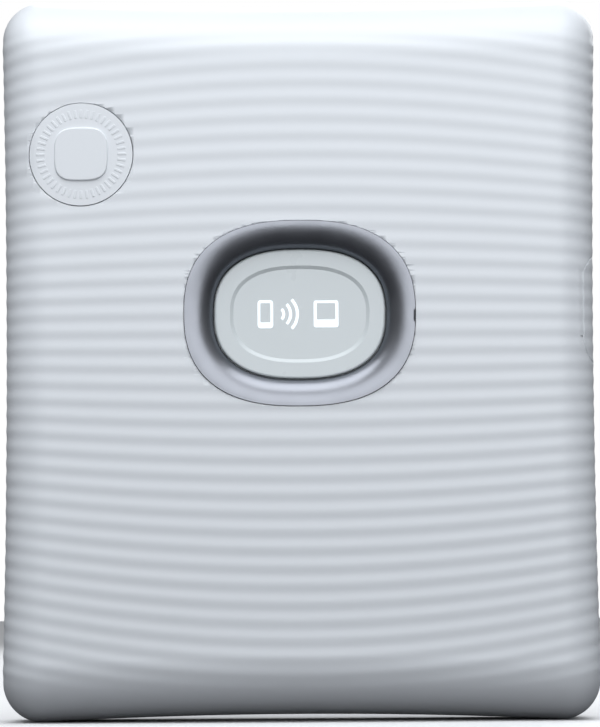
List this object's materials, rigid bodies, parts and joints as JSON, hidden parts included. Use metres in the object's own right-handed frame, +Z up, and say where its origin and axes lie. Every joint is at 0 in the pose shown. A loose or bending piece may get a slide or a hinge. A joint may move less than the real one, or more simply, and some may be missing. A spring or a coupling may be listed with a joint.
{
  "type": "instant photo printer",
  "caption": "Pocket printer for square instant film: ribbed case, oval lit power button in a metal ring, round function button, side latch, hinged film door, top exit slot.",
  "frame": {"origin": "middle of the footprint: centred in width and depth, at the lowest points of the base", "axes": "+X right seen from the front, +Z up, the front face looks along -Y and the film door along +Y"},
  "size_m": [0.1052, 0.0344, 0.1279],
  "materials": {
    "case_plastic": "satin moulded, fine ribs",
    "button_plastic": "satin, smooth",
    "pearl_plastic": "pearl",
    "satin_metal": "satin anodised",
    "diffuser": "milky",
    "white_plastic": "moulded",
    "switch_black": "moulded",
    "circuit_board": "solder mask",
    "tinned_steel": "tinned",
    "chip_black": "moulded epoxy",
    "copper_film": "etched film",
    "cell_wrap": "foil pouch",
    "black_plastic": "moulded, light tight",
    "lens_glass": "polished rod lens strip",
    "black_foam": "open-cell foam",
    "screw_steel": "turned",
    "spring_steel": "drawn wire",
    "sheet_steel": "pressed sheet",
    "roller_steel": "ground",
    "bush_plastic": "acetal",
    "gear_plastic": "acetal",
    "brass": "machined",
    "motor_can": "drawn can"
  },
  "bodies": {
    "case": {"front_shell": "case_plastic", "rear_shell": "case_plastic", "case_screws": "screw_steel", "bezel_ring": "satin_metal", "power_switch": "switch_black", "function_switch": "switch_black", "function_board": "circuit_board", "main_board": "circuit_board", "board_screws": "screw_steel", "function_screws": "screw_steel", "shield_can": "tinned_steel", "board_chips": "chip_black", "antenna": "copper_film", "charging_port": "tinned_steel", "battery": "cell_wrap", "battery_connector": "white_plastic", "film_chassis": "black_plastic", "chassis_screws": "screw_steel", "claw_pins": "screw_steel", "claw_spring": "spring_steel", "print_head": "black_plastic", "lens_array": "lens_glass", "head_board": "circuit_board", "left_cheek": "sheet_steel", "right_cheek": "sheet_steel", "roller_bushes": "bush_plastic", "nip_springs": "spring_steel", "reduction_axle": "screw_steel", "motor_gearbox": "brass", "drive_motor": "motor_can", "flap_pin": "screw_steel", "exit_seal": "black_foam", "hinge_pin": "screw_steel", "latch_spring": "spring_steel"},
    "power_button": {"power_button": "pearl_plastic", "light_guide": "diffuser", "power_plunger": "white_plastic"},
    "function_button": {"function_button": "button_plastic", "function_plunger": "white_plastic"},
    "door_latch": {"door_latch": "case_plastic"},
    "film_door": {"film_door": "case_plastic", "door_liner": "black_plastic", "door_seal": "black_foam", "door_catches": "sheet_steel", "plate_springs": "spring_steel"},
    "pressure_plate": {"pressure_plate": "black_plastic"},
    "film_claw": {"film_claw": "sheet_steel"},
    "front_roller": {"front_roller": "roller_steel", "front_roller_gear": "gear_plastic"},
    "rear_roller": {"rear_roller": "roller_steel", "rear_roller_gear": "gear_plastic"},
    "reduction_gear": {"reduction_gear": "gear_plastic"},
    "motor_pinion": {"motor_pinion": "brass", "motor_shaft": "screw_steel"},
    "exit_flap": {"exit_flap": "black_plastic"}
  },
  "joints": [
    {"name": "power_button_press", "type": "slide", "parent": "case", "child": "power_button", "axis": [0, 1, 0], "range_m": [0, 0.0006], "stiffness_N_per_m": 1200, "springref_m": -0.0005},
    {"name": "function_button_press", "type": "slide", "parent": "case", "child": "function_button", "axis": [0, 1, 0], "range_m": [0, 0.0006], "stiffness_N_per_m": 1000, "springref_m": -0.0005},
    {"name": "door_latch_press", "type": "slide", "parent": "case", "child": "door_latch", "axis": [-1, 0, 0], "range_m": [0, 0.0012], "stiffness_N_per_m": 600, "springref_m": -0.001, "deforming": ["latch_spring"]},
    {"name": "film_door_hinge", "type": "hinge", "parent": "case", "child": "film_door", "pos_m": [-0.0415, 0.0147, 0.05715], "axis": [0, 0, 1], "range_deg": [0, 90]},
    {"name": "pressure_plate_slide", "type": "slide", "parent": "film_door", "child": "pressure_plate", "axis": [0, 1, 0], "range_m": [0, 0.0012], "stiffness_N_per_m": 500, "springref_m": -0.001, "deforming": ["plate_springs"]},
    {"name": "film_claw_slide", "type": "slide", "parent": "case", "child": "film_claw", "axis": [0, 0, 1], "range_m": [0, 0.004], "stiffness_N_per_m": 150, "springref_m": -0.002, "deforming": ["claw_spring"]},
    {"name": "front_roller_spin", "type": "hinge", "parent": "case", "child": "front_roller", "pos_m": [0, -0.00715, 0.1145], "axis": [1, 0, 0], "continuous": true},
    {"name": "rear_roller_spin", "type": "hinge", "parent": "case", "child": "rear_roller", "pos_m": [0, -0.00005, 0.1145], "axis": [1, 0, 0], "continuous": true},
    {"name": "reduction_gear_spin", "type": "hinge", "parent": "case", "child": "reduction_gear", "pos_m": [0.045, 0.00109, 0.10805], "axis": [1, 0, 0], "continuous": true},
    {"name": "motor_pinion_spin", "type": "hinge", "parent": "case", "child": "motor_pinion", "pos_m": [0.045, 0.00973, 0.1141], "axis": [1, 0, 0], "continuous": true},
    {"name": "exit_flap_hinge", "type": "hinge", "parent": "case", "child": "exit_flap", "pos_m": [0, -0.0006, 0.1226], "axis": [-1, 0, 0], "range_deg": [0, 60], "stiffness_Nm_per_rad": 0.002, "springref_deg": -17.19}
  ],
  "couplings": [
    {"joint": "front_roller_spin", "follows": "motor_pinion_spin", "ratio": -0.34286},
    {"joint": "rear_roller_spin", "follows": "motor_pinion_spin", "ratio": 0.34286},
    {"joint": "reduction_gear_spin", "follows": "motor_pinion_spin", "ratio": -0.4}
  ]
}
